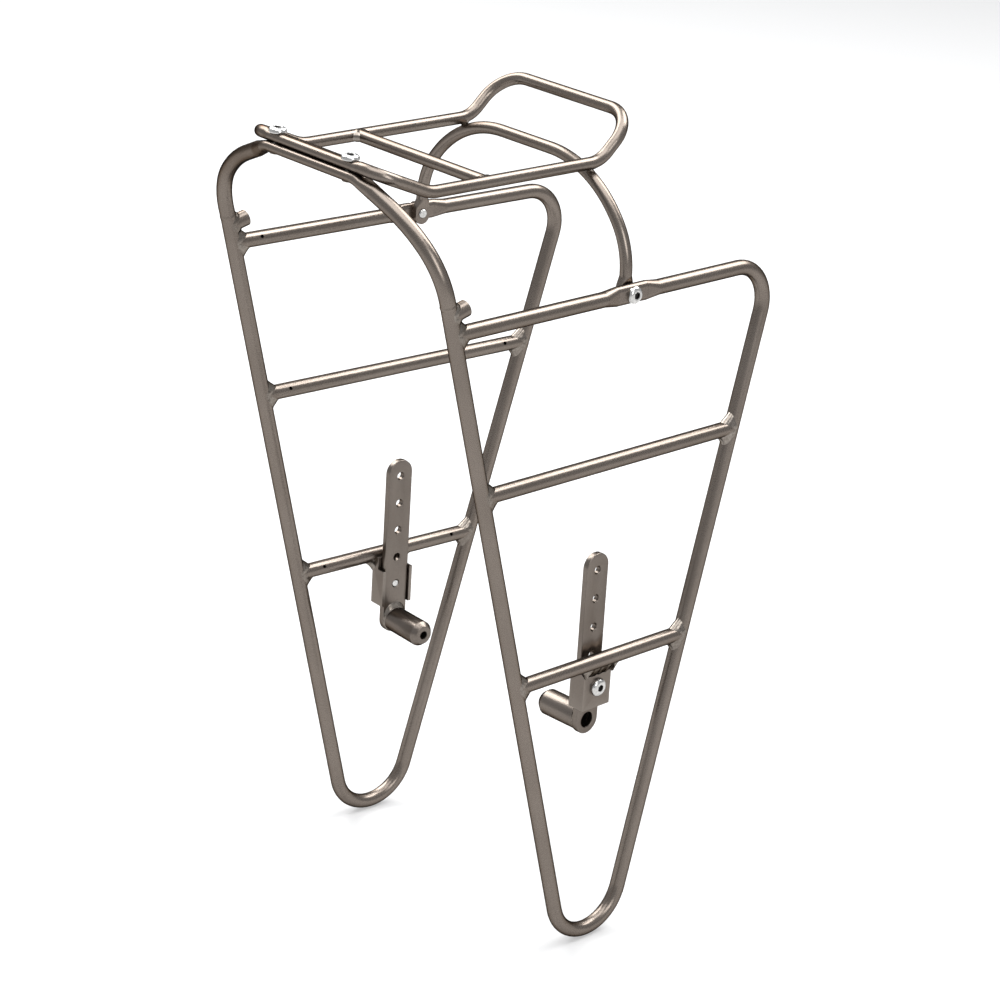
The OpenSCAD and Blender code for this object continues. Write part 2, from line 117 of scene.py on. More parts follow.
BUTTON_HEAD = (5.4, 3.1)             # radius and height of a screw's head
FOOT_HEAD = (5.9, 3.3)
DECK_SCREW_L = 12.0
STAY_SCREW_L = 11.0
SHANK_R = 3.0
THREAD_PITCH = 1.0
THREAD_CREST = SHANK_R - 0.05
THREAD_ROOT = SHANK_R - 0.45
HEX_R = 2.0                          # centre of the hexagon socket to one of its flats
HEX_DEPTH = 2.0

# ---------- settings of the mesh work ----------
SIDES = (("left", False), ("right", True))   # and whether it is the mirrored one
SHARP = math.radians(38)             # edges sharper than this aren't shaded smoothly
FLAT = math.radians(2)               # faces that turn less than this are joined into one
BEVELLED = math.radians(50)          # edges sharper than this are rounded on the foot blocks
LATHE_STEPS = 96
HOLE_STEPS = 48
ARC_STEPS = 32
SAME_POINT = 1e-6                    # metres

WELD_STEPS = 72                      # round a weld
FILLET_STEPS = 8                     # across a fillet
RIPPLE_PITCH = 1.5
RIPPLE_HEIGHT = 0.16
RIPPLE_CURVE = 0.9                   # how far a ripple's ends trail its middle
FLAT_BEAD = RIPPLE_PITCH / 6         # place along a bead where its middle has no ripple
BEAD_BULGE = 0.3                     # how far the middle of a bead stands proud
BEAD_SINK = 0.1                      # how far its edges lie under the metal
BEAD_ROOT = 0.8                      # how deep its closing point is buried
EAR_POWER = 5                        # a higher power makes the ears of a weld narrower

# ---------- directions and places ----------
LEFT = Vector((1, 0, 0))
BACK = Vector((0, 1, 0))
UP = Vector((0, 0, 1))
SIDE_BACK = Vector((-math.sin(SIDE_TOE), math.cos(SIDE_TOE), 0))
SIDE_OUT = Vector((math.cos(SIDE_SPLAY) * math.cos(SIDE_TOE),
                   math.cos(SIDE_SPLAY) * math.sin(SIDE_TOE), math.sin(SIDE_SPLAY)))
SIDE_UP = SIDE_OUT.cross(SIDE_BACK)
LEG_FRONT = -math.sin(LEG_ANGLE) * SIDE_BACK + math.cos(LEG_ANGLE) * SIDE_UP
LEG_REAR = math.sin(LEG_ANGLE) * SIDE_BACK + math.cos(LEG_ANGLE) * SIDE_UP
FOOT_OUT = Vector((math.cos(FOOT_TOE), math.sin(FOOT_TOE), 0))
FOOT_BACK = Vector((-math.sin(FOOT_TOE), math.cos(FOOT_TOE), 0))


def side_point(y, z, out=0.0):
    """A point of the left side frame's plane: y to the rear, z up, out from the plane."""
    return Vector((SIDE_X, 0, 0)) + y * SIDE_BACK + z * SIDE_UP + out * SIDE_OUT


def leg_y(z, rear):
    """Where a leg of the V lies along the rack, at a height in the side frame's plane."""
    return V_Y + (1 if rear else -1) * (z - APEX_Z) * math.tan(LEG_ANGLE)


def foot_point(x, y, z):
    """A point of the left foot: x outwards, y to the rear of its centre line, z up."""
    return Vector((BAR_X, FOOT_Y, 0)) + (x - BAR_X) * FOOT_OUT + y * FOOT_BACK + z * UP


def around(angle, first, second):
    """A unit vector at an angle from the first of two directions towards the second."""
    return math.cos(angle) * first + math.sin(angle) * second


# ---------- materials ----------
# Noise scales are per metre and bump distances are in metres.
EDGE_TINT = (0.04, 0.037, 0.034)     # the coating's reflection at grazing angles


class Finish:
    """A node material under construction: its nodes, and the inputs of its shader."""

    def __init__(self, name):
        self.material = bpy.data.materials.new(name)
        self.material.use_nodes = True
        self.tree = self.material.node_tree
        self.inputs = self.tree.nodes["Principled BSDF"].inputs

    def link(self, output, socket):
        """Feeds a node's output into a socket."""
        self.tree.links.new(output, socket)

    def noise(self, scale, detail, place=None):
        """A noise between 0 and 1, in object space where a place is given."""
        node = self.tree.nodes.new("ShaderNodeTexNoise")
        node.inputs["Scale"].default_value = scale
        node.inputs["Detail"].default_value = detail
        if place:
            self.link(place, node.inputs["Vector"])
        return node.outputs["Fac"]

    def object_place(self):
        """A point's own place on the object."""
        return self.tree.nodes.new("ShaderNodeTexCoord").outputs["Object"]

    def multiply_add(self, factor, other, rest):
        """The value of factor * other + rest."""
        node = self.tree.nodes.new("ShaderNodeMath")
        node.operation = "MULTIPLY_ADD"
        self.link(factor, node.inputs[0])
        self.link(other, node.inputs[1])
        node.inputs[2].default_value = rest
        return node.outputs["Value"]

    def ramp(self, value, dark, light, start=0.0, end=1.0):
        """The colour between dark and light for a value between start and end."""
        node = self.tree.nodes.new("ShaderNodeValToRGB")
        self.link(value, node.inputs["Fac"])
        for stop, place, colour in zip(node.color_ramp.elements, (start, end), (dark, light)):
            stop.position = place
            stop.color = (*colour, 1)
        return node.outputs["Color"]

    def spread(self, value, source=(0, 1), target=(0, 1)):
        """A value moved from the source range to the target range."""
        node = self.tree.nodes.new("ShaderNodeMapRange")
        self.link(value, node.inputs["Value"])
        for end, number in zip(("From Min", "From Max", "To Min", "To Max"), (*source, *target)):
            node.inputs[end].default_value = number
        return node.outputs["Result"]

    def paint_edge_highlight(self, colour, edge_highlight, first, full):
        """Turns a colour to a painted highlight colour where the mesh's pointiness passes from
        first to full, so that convex edges look lit.
        """
        pointiness = self.tree.nodes.new("ShaderNodeNewGeometry").outputs["Pointiness"]
        node = self.tree.nodes.new("ShaderNodeMix")
        node.data_type = "RGBA"
        # of the many sockets, 6 and 7 are the two colours that are mixed, and 2 is the result
        self.link(self.spread(pointiness, source=(first, full)), node.inputs["Factor"])
        self.link(colour, node.inputs[6])
        node.inputs[7].default_value = (*edge_highlight, 1)
        return node.outputs[2]

    def bump(self, height, strength, distance):
        """Lets a height tilt the surface's shading."""
        node = self.tree.nodes.new("ShaderNodeBump")
        self.link(height, node.inputs["Height"])
        node.inputs["Strength"].default_value = strength
        node.inputs["Distance"].default_value = distance
        self.link(node.outputs["Normal"], self.inputs["Normal"])


def coated_metal(name, dark, light, rough, grain, grain_depth, edge_highlight=None):
    """Satin coated aluminium: slow colour drift, a fine blasted grain and, if an edge highlight
    colour is given, a painted highlight that brightens the convex edges."""
    finish = Finish(name)
    place = finish.object_place()
    drift = finish.noise(scale=22.0, detail=4.0, place=place)
    blasting = finish.noise(scale=grain, detail=2.0, place=place)
    speckle = finish.noise(scale=grain * 0.9, detail=2.0, place=place)
    blotches = finish.multiply_add(drift, speckle, rest=0.22)
    colour = finish.ramp(blotches, dark, light, start=0.36, end=0.62)
    # painted highlight: the mesh's convex edges get a lighter colour, as if they caught the light
    if edge_highlight:
        colour = finish.paint_edge_highlight(colour, edge_highlight, first=0.535, full=0.62)
    finish.link(colour, finish.inputs["Base Color"])
    finish.link(finish.spread(speckle, target=(rough - 0.05, rough + 0.07)),
                finish.inputs["Roughness"])
    finish.bump(blasting, strength=0.12, distance=grain_depth)
    finish.inputs["Metallic"].default_value = 1.0
    finish.inputs["Specular Tint"].default_value = (*EDGE_TINT, 1)
    return finish.material


def bright_steel(name, rough):
    """Stainless steel with small scuffs."""
    finish = Finish(name)
    scuffs = finish.noise(scale=900.0, detail=5.0, place=finish.object_place())
    colour = finish.ramp(scuffs, dark=(0.46, 0.455, 0.44), light=(0.66, 0.65, 0.635),
                         start=0.3, end=0.7)
    finish.link(colour, finish.inputs["Base Color"])
    finish.link(finish.spread(scuffs, target=(rough - 0.06, rough + 0.1)),
                finish.inputs["Roughness"])
    finish.bump(scuffs, strength=0.15, distance=0.00004)
    finish.inputs["Metallic"].default_value = 1.0
    return finish.material


def pale_floor(name, glow):
    """Matt paper, with a slight glow that keeps the ground under the rack white."""
    finish = Finish(name)
    fibre = finish.noise(scale=40.0, detail=6.0)
    colour = finish.ramp(fibre, dark=(0.31, 0.31, 0.31), light=(0.33, 0.33, 0.33))
    finish.link(colour, finish.inputs["Base Color"])
    finish.inputs["Roughness"].default_value = 0.9
    finish.inputs["Emission Color"].default_value = (1, 1, 1, 1)
    finish.inputs["Emission Strength"].default_value = glow
    return finish.material


TUBE = coated_metal("bronze_tube", dark=(0.175, 0.148, 0.127), light=(0.215, 0.184, 0.160),
                    rough=0.27, grain=2600.0, grain_depth=0.00003)
# the last colour below is a painted highlight for the rounded edges of the foot parts
FOOT = coated_metal("bronze_foot", dark=(0.150, 0.128, 0.111), light=(0.200, 0.173, 0.151),
                    rough=0.30, grain=2200.0, grain_depth=0.00004, edge_highlight=(0.42, 0.38, 0.34))
# the weld's light colour is brighter than the tube's: its lighter blotches are partly painted
# highlight for glints on the bead, and partly random tone
WELD = coated_metal("bronze_weld", dark=(0.16, 0.138, 0.119), light=(0.30, 0.27, 0.24),
                    rough=0.20, grain=900.0, grain_depth=0.00008)
SOCKET = coated_metal("socket_shadow", dark=(0.035, 0.034, 0.033), light=(0.06, 0.058, 0.056),
                      rough=0.5, grain=1800.0, grain_depth=0.00003)
STEEL = bright_steel("stainless", rough=0.18)

for node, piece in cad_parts.items():
    material = STEEL if "screw" in node else FOOT if "foot" in node else TUBE
    piece.data.materials.clear()
    piece.data.materials.append(material)


# ---------- mesh helpers ----------
@contextlib.contextmanager
def edited(mesh):
    """A mesh opened for work on its edges and faces, and written back afterwards."""
    work = bmesh.new()
    work.from_mesh(mesh)
    yield work
    work.to_mesh(mesh)
    work.free()


def merge_points(work):
    """Joins points that lie on each other."""
    bmesh.ops.remove_doubles(work, verts=work.verts, dist=SAME_POINT)


def recalculate(mesh):
    """Turns every face outwards, and shades smoothly except over sharp edges."""
    with edited(mesh) as work:
        bmesh.ops.recalc_face_normals(work, faces=work.faces)
        for face in work.faces:
            face.smooth = True
        for edge in work.edges:
            edge.smooth = not (len(edge.link_faces) == 2 and edge.calc_face_angle(0) > SHARP)


def new_piece(name, mesh, material, body):
    """A piece of one material, which takes a slot's finish and rides on a body."""
    mesh.materials.clear()
    mesh.materials.append(material)
    piece = bpy.data.objects.new(name, mesh)
    bpy.context.scene.collection.objects.link(piece)
    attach(piece, body)
    return piece


def add_piece(name, rows, material, body="root", closed_loop=True, mirror=False):
    """A piece from closed rows of points in millimetres, each joined to the next. A closed loop
    joins its last row to its first, and otherwise the two end rows are capped."""
    flip = -1 if mirror else 1
    points = [(p[0] * flip * MM, p[1] * MM, p[2] * MM) for row in rows for p in row]
    n, width = len(rows), len(rows[0])
    faces = []
    for i in range(n if closed_loop else n - 1):
        row, next_row = i * width, (i + 1) % n * width
        for j in range(width):
            k = (j + 1) % width
            faces.append((row + j, row + k, next_row + k, next_row + j))
    if not closed_loop:
        faces.append(tuple(reversed(range(width))))
        faces.append(tuple(range((n - 1) * width, n * width)))
    mesh = bpy.data.meshes.new(name)
    mesh.from_pydata(points, [], faces)
    mesh.validate()
    mesh.update()
    recalculate(mesh)
    return new_piece(name, mesh, material, body)


def flat_piece(name, outline, holes, depth, bevel, place, axes, material, body, mirror):
    """A plate with bevelled edges and round holes: outline and holes lie in its plane."""
    curve = bpy.data.curves.new(name, "CURVE")
    curve.dimensions = "2D"
    curve.fill_mode = "BOTH"
    curve.extrude = (depth / 2 - bevel) * MM
    curve.bevel_depth = bevel * MM
    curve.offset = -bevel * MM
    curve.bevel_resolution = 3
    turn = [2 * math.pi * i / HOLE_STEPS for i in range(HOLE_STEPS)]
    loops = [outline]
    loops += [[(x + r * math.cos(a), y + r * math.sin(a)) for a in turn] for x, y, r in holes]
    for loop in loops:
        spline = curve.splines.new("POLY")
        spline.points.add(len(loop) - 1)
        for point, (x, y) in zip(spline.points, loop):
            point.co = (x * MM, y * MM, 0, 1)
        spline.use_cyclic_u = True
    shape = bpy.data.objects.new(name + ".shape", curve)
    bpy.context.scene.collection.objects.link(shape)
    bpy.context.view_layer.update()
    graph = bpy.context.evaluated_depsgraph_get()
    mesh = bpy.data.meshes.new_from_object(shape.evaluated_get(graph))
    bpy.data.objects.remove(shape)
    to_place = Matrix([*axes]).transposed().to_4x4()
    to_place.translation = place * MM
    mesh.transform(to_place)
    if mirror:
        mesh.transform(Matrix.Scale(-1, 4, LEFT))
    mesh.name = name
    with edited(mesh) as work:
        merge_points(work)
    recalculate(mesh)
    return new_piece(name, mesh, material, body)


def lathe(name, rings, place, along, material, body="root", mirror=False, hollow=False):
    """A turned piece: rings of (radius, height, hexagon or not) along an axis. A hollow one has
    its first ring joined to its last, and a solid one has capped ends."""
    upright = abs(along.z) >= 0.9
    across = LEFT if upright else along.cross(UP).normalized()
    third = along.cross(across)
    rows = []
    for radius, height, hexagon in rings:
        row = []
        for i in range(LATHE_STEPS):
            a = 2 * math.pi * i / LATHE_STEPS
            r = radius
            if hexagon:                  # radius is then the distance to a flat
                r = radius / math.cos((a + math.pi / 6) % (math.pi / 3) - math.pi / 6)
            row.append(place + along * height + r * around(a, across, third))
        rows.append(row)
    return add_piece(name, rows, material, body, closed_loop=hollow, mirror=mirror)


def softened(name, node, width, material, body):
    """A copy of a flat-sided CAD node with its sharp edges bevelled, which stands for it."""
    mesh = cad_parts[node].data.copy()
    mesh.name = name
    with edited(mesh) as work:
        merge_points(work)
        bmesh.ops.dissolve_limit(work, angle_limit=FLAT, verts=work.verts, edges=work.edges)
    piece = new_piece(name, mesh, material, body)
    bevel = piece.modifiers.new("soft_edges", "BEVEL")
    bevel.width = width * MM
    bevel.segments = 3
    bevel.limit_method = "ANGLE"
    bevel.angle_limit = BEVELLED
    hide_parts(node)
    return piece


# ---------- welds ----------
def ripple(travel, t):
    """Height of the overlapping ripples of a weld bead: travel along it, t across it."""
    phase = travel / RIPPLE_PITCH + RIPPLE_CURVE * (t - 0.5) ** 2
    return RIPPLE_HEIGHT * (abs(math.sin(math.pi * phase)) - 0.5) * math.sin(math.pi * t)


def fillet_row(corner, end_a, end_b, normal_a, normal_b, travel, fullness=0.7):
    """The cross-section of a fillet between two surfaces, closed behind by a buried point. It
    hugs the corner at a fullness of 0, and is straight from edge to edge at 1."""
    control = corner.lerp((end_a + end_b) / 2, fullness)
    outward = (normal_a + normal_b).normalized()
    row = []
    for i in range(FILLET_STEPS + 1):
        t = i / FILLET_STEPS
        p = (1 - t) ** 2 * end_a + 2 * t * (1 - t) * control + t ** 2 * end_b
        height = BEAD_BULGE * math.sin(math.pi * t) - BEAD_SINK + ripple(travel, t)
        row.append(p + outward * height)
    row.append(corner - outward * BEAD_ROOT)
    return row


def across_axis(vector, axis):
    """The part of a vector that is square to an axis."""
    return vector - vector.dot(axis) * axis


def set_radius(point, axis, radius):
    """Moves a point, measured from a tube's centre line, straight out or in to its surface."""
    off = across_axis(point, axis)
    return point + (off.normalized() * radius - off)


def tube_weld(name, joint, along, radius, main_along, main_radius, reach, ear, mirror):
    """The fillet round a tube that leaves a main tube at a joint of their centre lines. It
    reaches further, by ear, above and below the tube."""
    across = along.cross(main_along).normalized()
    rise = across.cross(along).normalized()
    corners = []
    for i in range(WELD_STEPS):
        angle = 2 * math.pi * i / WELD_STEPS
        normal = around(angle, rise, across)
        # the tube's surface line, start + along * s, meets the main tube at the larger root s
        start = radius * normal
        flat_along = across_axis(along, main_along)
        flat_start = across_axis(start, main_along)
        qa, qb = flat_along.length_squared, 2 * flat_along.dot(flat_start)
        qc = flat_start.length_squared - main_radius ** 2
        root = math.sqrt(max(0.0, qb * qb - 4 * qa * qc))
        point = start + along * (root - qb) / (2 * qa)
        main_normal = across_axis(point, main_along).normalized()
        corners.append((point, normal, main_normal, abs(math.cos(angle))))
    rows, travel = [], 0.0
    for i, (point, normal, main_normal, upright) in enumerate(corners):
        before, after = corners[i - 1][0], corners[(i + 1) % WELD_STEPS][0]
        course = (after - before).normalized()
        travel += (point - before).length
        # the bead's edges leave the corner along the tube, and out over the main tube
        leave_a = course.cross(normal)
        leave_a *= 1 if leave_a.dot(along) > 0 else -1
        leave_b = course.cross(main_normal)
        leave_b *= 1 if leave_b.dot(normal - 0.5 * along) > 0 else -1
        size = reach + ear * upright ** EAR_POWER
        end_a = set_radius(point + size * leave_a, along, radius)
        end_b = set_radius(point + size * leave_b, main_along, main_radius)
        row = fillet_row(point, end_a, end_b, normal, main_normal, travel)
        rows.append([joint + p for p in row])
    return add_piece(name, rows, WELD, mirror=mirror)


def seam_weld(name, centre, along, radius, mirror):
    """The low butt weld that closes the gap between the ends of two tubes."""
    across = along.orthogonal().normalized()
    third = along.cross(across)
    half, rise = 1.5, 0.28           # half of its width, and its height
    sink, root = 0.04, 1.2           # how deep its edges and its inner side lie in the metal
    rippled, steps = 0.6, 6          # share of a full ripple, and steps across it
    rows = []
    for i in range(WELD_STEPS):
        angle = 2 * math.pi * i / WELD_STEPS
        normal = around(angle, across, third)
        row = [centre + normal * (radius - root) + along * half,
               centre + normal * (radius - root) - along * half]
        for k in range(steps + 1):
            t = k / steps
            bulge = rise * math.sin(math.pi * t) - sink + rippled * ripple(radius * angle, t)
            row.append(centre + normal * (radius + bulge) + along * half * (2 * t - 1))
        rows.append(row)
    return add_piece(name, rows, TUBE, mirror=mirror)


def crossing_weld(name, place, upper_along, lower_along, radius, gap, size, mirror):
    """The collar between two tubes that cross: place is on the upper tube's underside."""
    down = upper_along.cross(lower_along).normalized()
    down *= 1 if down.z < 0 else -1
    waist, overlap = 0.42, 0.3       # how much it narrows, and how far it goes into the tubes
    steps = 6
    rows = []
    for i in range(WELD_STEPS):
        angle = 2 * math.pi * i / WELD_STEPS
        outwards = around(angle, upper_along, lower_along)
        row = []
        for k in range(steps + 1):
            t = k / steps
            reach = size * (1 - waist * math.sin(math.pi * t)) + ripple(size * angle, t)
            off_upper, off_lower = reach * math.sin(angle), reach * math.cos(angle)
            top = -(radius - math.sqrt(radius ** 2 - off_upper ** 2)) - overlap
            bottom = gap + radius - math.sqrt(radius ** 2 - off_lower ** 2) + overlap
            row.append(place + outwards * reach + down * (top + (bottom - top) * t))
        row.append(place + down * (gap + overlap))
        row.append(place - down * overlap)
        rows.append(row)
    return add_piece(name, rows, WELD, mirror=mirror)


def barrel_weld(name, mirror, body):
    """The fillet between the barrel and its bar, which spreads up the bar."""
    barrel_reach, bar_reach = 1.4, 0.6
    barrel_more, bar_more = 1.4, 3.0     # added at the top
    rows, travel = [], 0.0
    for i in range(WELD_STEPS):
        angle = 2 * math.pi * i / WELD_STEPS
        normal = around(angle, UP, FOOT_BACK)
        upward = max(0.0, math.cos(angle))
        travel += 2 * math.pi * BARREL_R / WELD_STEPS
        corner = normal * BARREL_R
        on_barrel = corner - FOOT_OUT * (barrel_reach + barrel_more * upward)
        on_bar = corner + normal * (bar_reach + bar_more * upward ** 2)
        row = fillet_row(corner, on_barrel, on_bar, normal, -FOOT_OUT, travel)
        rows.append([foot_point(BAR_IN_X, 0, 0) + p for p in row])
    return add_piece(name, rows, WELD, body, mirror=mirror)


def block_weld(name, mirror):
    """The lumpy fillet between the foot channel's outer face and the rung above it, which is
    smaller at its ends."""
    half, steps = CHANNEL_W / 2, 90
    face_reach, rung_reach = 6.3, 5.0
    end_share, taper = 0.25, 6           # size at its ends, and how late it starts to shrink
    lump_1, length_1 = 0.2, 5.3          # two waves of different length make the lumps
    lump_2, length_2 = 0.1, 3.1
    rung_lump = 0.6                      # share of a lump that its edge on the rung follows
    rows = []
    for i in range(steps + 1):
        y = half * (2 * i / steps - 1)
        face = foot_point(CHANNEL_X, y, 0)
        centre = side_point(face.y, LOW_Z)
        lump = lump_1 * math.sin(2 * math.pi * y / length_1)
        lump += lump_2 * math.sin(2 * math.pi * y / length_2 + 1)
        full = end_share + (1 - end_share) * math.sqrt(max(0.0, 1 - (abs(y) / half) ** taper))
        start = math.asin((face.x - centre.x) / FRAME_R)
        finish = start + full * (rung_reach + rung_lump * lump) / FRAME_R
        corner = Vector((face.x, face.y, centre.z - FRAME_R * math.cos(start)))
        on_face = corner - UP * full * (face_reach + lump)
        rung_normal = around(finish, -UP, LEFT)
        on_rung = centre + FRAME_R * rung_normal
        rows.append(fillet_row(corner, on_face, on_rung, FOOT_OUT, rung_normal, FLAT_BEAD,
                               fullness=1.0))
    return add_piece(name, rows, WELD, closed_loop=False, mirror=mirror)


def block_ear(name, end, mirror):
    """The rounded web between one end of the foot channel's top and the rung's underside."""
    half_width, steps = 3.2, 24
    least, growth = 0.6, 6.0             # reach at its sides, and how much more in its middle
    middle_x = CHANNEL_X - 0.1           # just inside the block's outer face
    inset, sunk = 0.3, 0.1               # its root lies this far inside the block and the rung
    spare, roundness = 0.05, 0.7         # keeps its sides open, and shapes its outline
    out = end * FOOT_BACK
    rows = []
    for i in range(steps + 1):
        off = half_width * (2 * i / steps - 1)
        full = math.sqrt(max(0.0, 1 - (off / (half_width + spare)) ** 2)) ** roundness
        reach = least + growth * full
        edge = foot_point(middle_x + off, end * (CHANNEL_W / 2 - inset), 0)
        centre = side_point(edge.y, LOW_Z)
        shift = min(FRAME_R, abs(edge.x - centre.x))
        underside = centre.z - math.sqrt(FRAME_R ** 2 - shift ** 2)
        corner = Vector((edge.x, edge.y, underside + sunk))
        rows.append(fillet_row(corner, corner - UP * reach, corner + out * reach, out, -UP,
                               FLAT_BEAD, fullness=0.6))
    return add_piece(name, rows, WELD, closed_loop=False, mirror=mirror)


# height of each level tube and whether its welded ends are rear ones: the top rail has no rear
# weld, because it bends into the rear leg
RUNGS = (("top", RAIL_Z, (False,)), ("mid", MID_Z, (False, True)), ("low", LOW_Z, (False, True)))
BOSS_ALONG = math.cos(LEG_ANGLE) * SIDE_BACK + math.sin(LEG_ANGLE) * SIDE_UP
for side, mirrored in SIDES:
    for label, z, ends in RUNGS:
        for rear in ends:
            tube_weld(f"weld_{label}_{'rear' if rear else 'front'}_{side}",
                      side_point(leg_y(z, rear), z), -SIDE_BACK if rear else SIDE_BACK, FRAME_R,
                      LEG_REAR if rear else LEG_FRONT, FRAME_R, reach=2.2, ear=3.4,
                      mirror=mirrored)
    tube_weld(f"weld_boss_{side}", side_point(leg_y(BOSS_Z, False), BOSS_Z), BOSS_ALONG, BOSS_R,
              LEG_FRONT, FRAME_R, reach=1.8, ear=0.8, mirror=mirrored)
    tube_weld(f"weld_strut_{side}", Vector((DECK_X, STRUT_Y, DECK_Z)), -LEFT, DECK_R, BACK,
              DECK_R, reach=1.5, ear=1.5, mirror=mirrored)

ARCH_UP = around(ARCH_LEAN, UP, -BACK)
# the stay passes under the deck rail on a bend, whose centre is STAY_R below the stay's middle
STAY_RUN = DECK_X - STAY_MID_X
STAY_RISE = DECK_Z - (STAY_Z - STAY_R)
STAY_OUT = Vector((STAY_RUN, 0, STAY_RISE)).normalized()
STAY_GAP = math.hypot(STAY_RUN, STAY_RISE) - STAY_R - 2 * DECK_R
for side, mirrored in SIDES:
    seam_weld(f"weld_seam_{side}", side_point(leg_y(SEAM_Z, False), SEAM_Z),
              (ARCH_UP + LEG_FRONT).normalized(), FRAME_R, mirrored)
    crossing_weld(f"weld_stay_{side}", Vector((DECK_X, STAY_Y, DECK_Z)) - STAY_OUT * DECK_R,
                  BACK, STAY_OUT.cross(BACK), DECK_R, STAY_GAP, size=3.4, mirror=mirrored)


# ---------- screws ----------
def screw_rings(head, shank_l, tip_r=None, tip_l=0.0):
    """Rings of a domed socket screw, from its tip to the bottom of its hexagon socket. Its head
    sits at height 0, and a thinner tip may go on below the shank."""
    radius, height = head
    rings = []
    if tip_r:
        rings += [(tip_r - 0.3, -shank_l - tip_l, False),
                  (tip_r, -shank_l - tip_l + 0.3, False),
                  (tip_r, -shank_l, False)]
    # shank, with a ridge and a groove for each turn of its thread
    rings += [(SHANK_R - 0.6, -shank_l, False), (SHANK_R - 0.1, -shank_l + 0.5, False)]
    for i in range(int((shank_l - 1.2) / THREAD_PITCH)):
        ridge = -shank_l + 0.6 + i * THREAD_PITCH
        rings += [(THREAD_CREST, ridge, False), (THREAD_ROOT, ridge + THREAD_PITCH / 2, False)]
    rings += [(THREAD_CREST, -0.5, False), (THREAD_CREST, 0.0, False)]
    # rounded edge under the head, its straight rim, and the dome
    side_top = 0.75
    rings += [(radius - 0.35, 0.0, False), (radius - 0.08, 0.12, False), (radius, 0.4, False),
              (radius, side_top, False)]
    mouth = HEX_R / math.cos(math.pi / 6) + 0.55
    dome_steps = 8
    for k in range(1, dome_steps + 1):
        a = math.pi / 2 * k / dome_steps
        rings.append((mouth + (radius - mouth) * math.cos(a),
                      side_top + (height - side_top) * math.sin(a), False))
    # the socket's countersunk mouth, flats and floor
    rings += [(mouth - 0.25, height - 0.02, False), (HEX_R + 0.12, height - 0.12, True),
              (HEX_R, height - 0.3, True), (HEX_R, height - HEX_DEPTH, True),
              (HEX_R * 0.4, height - HEX_DEPTH - 0.6, False)]
    return rings


def darken_socket(screw, place, along, mirror):
    """Gives the faces down inside the hexagon socket the shadowed material."""
    socket_r = 2.33                  # just past the hexagon's corners
    floor_height = 1.4               # above this, faces that look up stay bright
    mesh = screw.data
    mesh.materials.append(SOCKET)
    origin, axis = Vector(place), Vector(along)
    if mirror:
        origin.x, axis.x = -origin.x, -axis.x
    for face in mesh.polygons:
        offset = face.center / MM - origin
        height = offset.dot(axis)
        inside = height > 0 and (offset - axis * height).length < socket_r
        if inside and (height < floor_height or face.normal.dot(axis) < 0.99):
            face.material_index = 1


DECK_SCREW_SEAT = Vector((DECK_SCREW_X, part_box("deck_screws")[0].y / MM + BUTTON_HEAD[0],
                          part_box("deck_screws")[1].z / MM - BUTTON_HEAD[1]))
STAY_SCREW_SEAT = side_point(STAY_Y, RAIL_Z, RAIL_PRESS_T / 2)
FOOT_SCREW_SEAT = foot_point(CHANNEL_X, 0, BOLT_Z)
# the foot screw's shank ends at the bar, and a thinner tip goes on into the bar's hole
FOOT_SCREW_RINGS = screw_rings(FOOT_HEAD, CHANNEL_X - BAR_X - 0.1, tip_r=THREAD_R - 0.15,
                               tip_l=BAR_T - 0.3)
SCREWS = (("deck_screw", screw_rings(BUTTON_HEAD, DECK_SCREW_L), DECK_SCREW_SEAT, UP),
          ("stay_screw", screw_rings(BUTTON_HEAD, STAY_SCREW_L), STAY_SCREW_SEAT, SIDE_OUT),
          ("foot_screw", FOOT_SCREW_RINGS, FOOT_SCREW_SEAT, FOOT_OUT))


def socket_screw(kind, side, rings, seat, along, mirror):
    """One of a pair of screws, which stand together for the pair's CAD node."""
    screw = lathe(f"{kind}_{side}", rings, seat, along, STEEL, mirror=mirror)
    darken_socket(screw, seat, along, mirror)
    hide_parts(kind + "s")


# ---------- feet ----------
def foot_plate(side, mirror):
    """The flat bar with its row of threaded holes, and the counterbore's mouth at its foot."""
    end_r = BAR_W / 2
    half_turn = [math.pi * i / ARC_STEPS for i in range(ARC_STEPS + 1)]
    outline = [(end_r * math.cos(math.pi + a), end_r * math.sin(math.pi + a)) for a in half_turn]
    outline += [(end_r * math.cos(a), BAR_TOP - end_r + end_r * math.sin(a)) for a in half_turn]
    holes = [(0, 0, BORE_R)]
    holes += [(0, BOLT_Z + i * HOLE_PITCH, THREAD_R) for i in range(HOLE_COUNT)]
    bar = flat_piece(f"foot_plate_{side}", outline, holes, depth=BAR_T, bevel=0.7,
                     place=foot_point(BAR_X - BAR_T / 2, 0, 0), axes=(FOOT_BACK, UP, FOOT_OUT),
                     material=FOOT, body=f"foot_{side}", mirror=mirror)
    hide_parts(f"foot_bar_{side}")


def foot_spacer(side, mirror):
    """The barrel, turned, with its chamfered inner end, eyelet hole and counterbore."""
    face_r = BARREL_R - CHAMFER_R
    end = BARREL_L - 0.02                # just short of the bar
    # along the outside to the chamfer and the inner face, then back through the holes
    rings = [(BARREL_R - 0.1, end), (BARREL_R, BARREL_L - 0.6), (BARREL_R, CHAMFER_L + 0.5),
             (BARREL_R - 0.08, CHAMFER_L + 0.1), (BARREL_R - 0.25, CHAMFER_L - 0.25),
             (face_r + 0.22, 0.24), (face_r + 0.02, 0.06), (face_r - 0.2, 0.0),
             (EYELET_R + 0.5, 0.0), (EYELET_R + 0.1, 0.1), (EYELET_R, 0.4),
             (EYELET_R, BORE_START), (BORE_R, BORE_START), (BORE_R, end)]
    barrel = lathe(f"foot_spacer_{side}", [(radius, height, False) for radius, height in rings],
                   foot_point(BARREL_END_X, 0, 0), FOOT_OUT, FOOT, f"foot_{side}",
                   mirror, hollow=True)
    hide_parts(f"foot_barrel_{side}")


